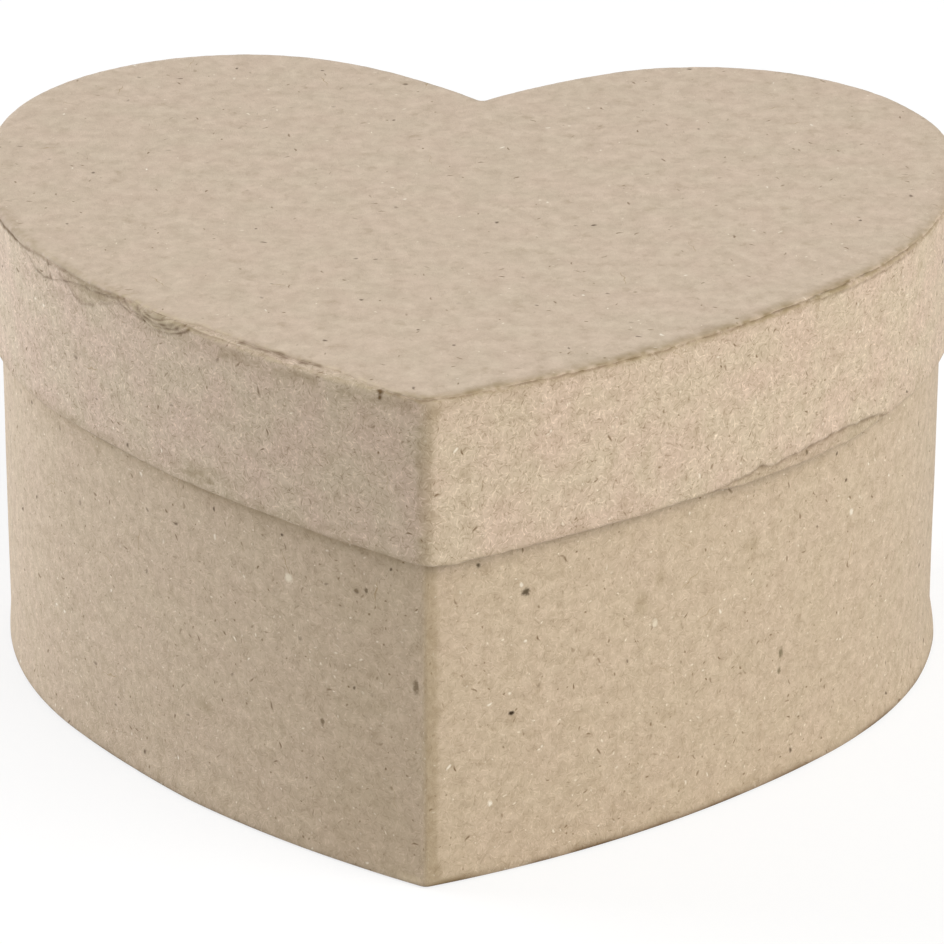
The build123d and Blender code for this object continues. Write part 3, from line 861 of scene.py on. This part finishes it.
def tray_wrap():
    """The wall's wrap: turned in at the rim, and turned under at the foot, where it bulges a little."""
    here = TRAY_STATIONS[:, None]
    inset, level = tray_path.T
    outer = (inset < tray_outside + 1.0)[None, :]
    height = (level - base_level)[None, :]
    foot = smooth(1 - height / FOOT_HEIGHT) * smooth(1 - (inset - tray_outside) / 3)[None, :]
    spread = np.interp(TRAY_STATIONS, *np.array(FOOT_FLARE).T)[:, None] * foot
    lift = 0.04 * rumple(TRAY_STATIONS, tray_runs, 12, 9, 51) * outer * smooth(height / 2)
    rise = -FOOT_DROP * smooth(1 - height / 1.2) * smooth(1 - (inset - tray_outside - 0.3) / 0.8)[None, :]
    patches = rumple(TRAY_STATIONS, tray_runs, 2.5, 0.8, 52)
    # Painted contact shadow along the foot, where it stands on the floor, wider on the right
    on_right = smooth((here - 2) / 4)
    floor_contact_shade = (0.65 + 0.3 * on_right) * near(height, 0.0, 0.3 + 0.2 * on_right)
    crease_shade_and_dirt = floor_contact_shade * outer * (0.7 + 0.5 * patches)
    lapped = smooth((TRAY_STATIONS + LAP_END) / -0.3)[:, None] * outer
    lift = lift + LAP_STEP * lapped * smooth((HALF_LENGTH + TRAY_STATIONS) / 8)[:, None] * smooth(height / 2)
    # Painted shade along the edge of the lapped end
    crease_shade_and_dirt = np.maximum(crease_shade_and_dirt, 0.3 * near(here + 0.2 * patches, -LAP_END, 0.4) * outer)
    # The tip is rubbed, and darkened with painted shade that carries the left face's shade round it.
    wear_and_shade = 0.43 * smooth((2.4 + 0.3 * patches - here) / 0.7) * smooth((here + 0.7) / 1.0)
    # Painted olive shade on the wall left of the tip, darker towards the foot
    left_of_tip_shade = 0.12 + 0.08 * smooth(1 - height / 22)
    wear_and_shade = np.maximum(wear_and_shade, left_of_tip_shade * near(here, -7, 8) * (0.8 + 0.5 * patches))
    # Painted shade along the foot, more of it away from the tip, and just right of the tip the foot is
    # scuffed
    foot_shade = smooth((here - 3) / 20) + smooth((-here - 28) / 10)
    wear_and_shade = np.maximum(wear_and_shade, 0.12 * foot_shade * near(height, 0.5, 1.3) * (0.8 + 0.5 * patches))
    wear_and_shade = np.maximum(wear_and_shade, 0.7 * near(here, 3.0, 3.0) * near(height, 0.25, 0.4) * (0.8 + 0.5 * patches))
    # Painted shadow of the lid's lower edge: a soft dark line on the wall just below it, more so at the
    # left.
    below_lid = lid_bottom - np.interp(TRAY_STATIONS, *np.array(EDGE_SAG).T)[:, None] - level
    from_lid_shadow = np.maximum(below_lid - LID_SHADOW_DEPTH, 0)
    on_left = smooth(-here / 6) * smooth((here + 75) / 15)
    lid_shadow = 0.25 * on_left * near(from_lid_shadow, 0, 0.5)
    lid_shadow = lid_shadow + (0.09 + 0.11 * on_left) * near(from_lid_shadow, 0, 1.8)
    wear_and_shade = np.maximum(wear_and_shade, lid_shadow * (below_lid > -0.3) * (0.9 + 0.3 * patches))
    torn_and_highlight = 0.5 * near(here, -2.2, 1.7) * near(height, 0.6, 0.35) * outer
    for place, middle, half_length, half_height in WALL_STAINS:
        away = np.hypot((here - place) / half_length, (level - middle) / half_height)
        wear_and_shade = np.maximum(wear_and_shade, 0.35 * smooth(1.4 - away + 0.4 * patches))
    marks = {"crease_shade_and_dirt": np.clip(crease_shade_and_dirt, 0, 1), "wear_and_shade": np.clip(wear_and_shade, 0, 1) * outer, "torn_and_highlight": torn_and_highlight}
    return strip("tray_wall_wrap_paper", TRAY_STATIONS, tray_path, paper, lift, rise, spread, marks=marks)


def wall_lining():
    """The wall's lining strip, with its upper edge cut by eye below the tray's rim."""
    inside = wall_inside + paper
    path = trace((inside, lining_high, 0, 0.8), (inside, lining_high - 6, 0, 2), (inside, lining_low, 0, 0))
    cut = 0.4 * wander(LINING_STATIONS, 16, 61) + 0.1 * wander(LINING_STATIONS, 3, 62)
    rise = cut[:, None] * smooth(1 - (lining_high - path[:, 1]) / 6)[None, :]
    lift = 0.02 * rumple(LINING_STATIONS, run_along(path), 10, 8, 63)
    return strip("tray_wall_lining_paper", LINING_STATIONS, path, paper, lift, rise,
                 lengths=lengths_round(LINING_STATIONS, inside))


finish_piece(tray_wrap(), "tray", tray_kraft, "tray_wall_wrap")
finish_piece(wall_lining(), "tray", lining_kraft, "tray_wall_lining")
floor_inset = wall_inside + paper + 0.1 + 0.1 * wander(LINING_STATIONS, 7, 64)
floor_sheet = flat_piece("tray_floor_sheet_paper", LINING_STATIONS, floor_inset, floor_high, paper)
finish_piece(floor_sheet, "tray", lining_kraft, "tray_floor_sheet")
base_inset = inset_of("base_cover_sheet") + 0.25 * wander(LINING_STATIONS, 11, 65)
base_sheet = flat_piece("base_cover_sheet_paper", LINING_STATIONS, base_inset, 0.0, paper, faces_up=False)
finish_piece(base_sheet, "tray", base_kraft, "base_cover_sheet")

# Boards and stays, as the frame has them
for name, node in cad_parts.items():
    if node.hide_render:
        continue
    finish = gummed_tape if name.endswith("stay") else pulp_board
    node.data.materials.clear()
    node.data.materials.append(finish)

# Camera, at the photograph's view. The frame's middle lies off the lens's axis by the shifts.
VIEW_TARGET = Vector((0, 37.02, 6.29))
VIEW_DISTANCE = 669.27
VIEW_AZIMUTH = radians(3.989)
VIEW_ELEVATION = radians(24.96)
VIEW_ROLL = radians(0.138)
LENS = 222.9
SHIFT_ACROSS = -0.0111
SHIFT_UP = 0.0209

back = Vector((sin(VIEW_AZIMUTH) * cos(VIEW_ELEVATION), -cos(VIEW_AZIMUTH) * cos(VIEW_ELEVATION),
               sin(VIEW_ELEVATION)))
camera = bpy.data.objects.new("photo_view", bpy.data.cameras.new("photo_view"))
bpy.context.scene.collection.objects.link(camera)
level_right = Vector((0, 0, 1)).cross(back).normalized()
level_up = back.cross(level_right)
right = level_right * cos(VIEW_ROLL) + level_up * sin(VIEW_ROLL)
up = level_up * cos(VIEW_ROLL) - level_right * sin(VIEW_ROLL)
camera.matrix_world = Matrix.Translation((VIEW_TARGET + back * VIEW_DISTANCE) * MM) @ Matrix(
    (right, up, back)).transposed().to_4x4()
camera.data.lens = LENS
camera.data.shift_x = SHIFT_ACROSS
camera.data.shift_y = SHIFT_UP
camera.data.clip_start = 0.05
camera.data.clip_end = 20
bpy.context.scene.camera = camera

# Studio: a pale floor, with soft light from the right and from behind at the left, and a little more behind

# Distance of the soft boxes and their side, in metres, and the strength of the light from all round
LIGHT_DISTANCE = 1.0
LIGHT_SIDE = 0.7
AMBIENT = 0.4
# Half of the floor's side, in metres, and how far it lies below the box, so that their faces don't meet
FLOOR_HALF = 3.0
FLOOR_GAP = 0.02


def soft_box(name, azimuth, elevation, power, tint):
    """A square soft light that faces the box from this side."""
    lamp = bpy.data.objects.new(name, bpy.data.lights.new(name, "AREA"))
    bpy.context.scene.collection.objects.link(lamp)
    towards = Vector((sin(radians(azimuth)) * cos(radians(elevation)),
                      -cos(radians(azimuth)) * cos(radians(elevation)), sin(radians(elevation))))
    lamp.location = towards * LIGHT_DISTANCE
    lamp.rotation_mode = "QUATERNION"
    lamp.rotation_quaternion = towards.to_track_quat("Z", "Y")
    lamp.data.size = LIGHT_SIDE
    lamp.data.energy = power
    lamp.data.color = linear(tint)[:3]


soft_box("right_soft_box", azimuth=60, elevation=40, power=7.15, tint="#fffdf7")
soft_box("left_soft_box", azimuth=-110, elevation=15, power=10.5, tint="#f3f7ff")
soft_box("right_rear_soft_box", azimuth=115, elevation=15, power=0.7, tint="#c4d9ff")

world = bpy.data.worlds.new("studio_walls")
world.use_nodes = True
bpy.context.scene.world = world
sky = world.node_tree.nodes["Background"]
rays = add(world.node_tree, "ShaderNodeLightPath", {}, "Is Camera Ray")
ambient = add(world.node_tree, "ShaderNodeMapRange", {"Value": rays, "To Min": AMBIENT, "To Max": 1.0})
world.node_tree.links.new(ambient, sky.inputs["Strength"])
sky.inputs["Color"].default_value = (1, 1, 1, 1)


def studio_floor():
    """White seamless paper: the camera sees it white, with the box's shadow faintly on it."""
    half = FLOOR_HALF
    mesh = bpy.data.meshes.new("studio_floor")
    corners = [(-half, -half, 0), (half, -half, 0), (half, half, 0), (-half, half, 0)]
    mesh.from_pydata(corners, [], [(0, 1, 2, 3)])
    floor = bpy.data.objects.new("studio_floor", mesh)
    bpy.context.scene.collection.objects.link(floor)
    floor.location.z = -FLOOR_GAP * MM
    material = bpy.data.materials.new("white_seamless_paper")
    material.use_nodes = True
    tree = material.node_tree
    tree.nodes.remove(tree.nodes["Principled BSDF"])
    pale = add(tree, "ShaderNodeBsdfDiffuse", {"Color": linear("#e6e6e6")})
    faint = add(tree, "ShaderNodeBsdfDiffuse", {"Color": linear("#8f8f8f")})
    glow = add(tree, "ShaderNodeEmission", {"Color": linear("#ffffff"), "Strength": 0.74})
    seen = add(tree, "ShaderNodeAddShader", {0: faint, 1: glow})
    path = add(tree, "ShaderNodeLightPath", {}, "Is Camera Ray")
    shown = add(tree, "ShaderNodeMixShader", {0: path, 1: pale, 2: seen})
    tree.links.new(shown, tree.nodes["Material Output"].inputs["Surface"])
    mesh.materials.append(material)


studio_floor()
bpy.context.scene.view_settings.view_transform = "Standard"
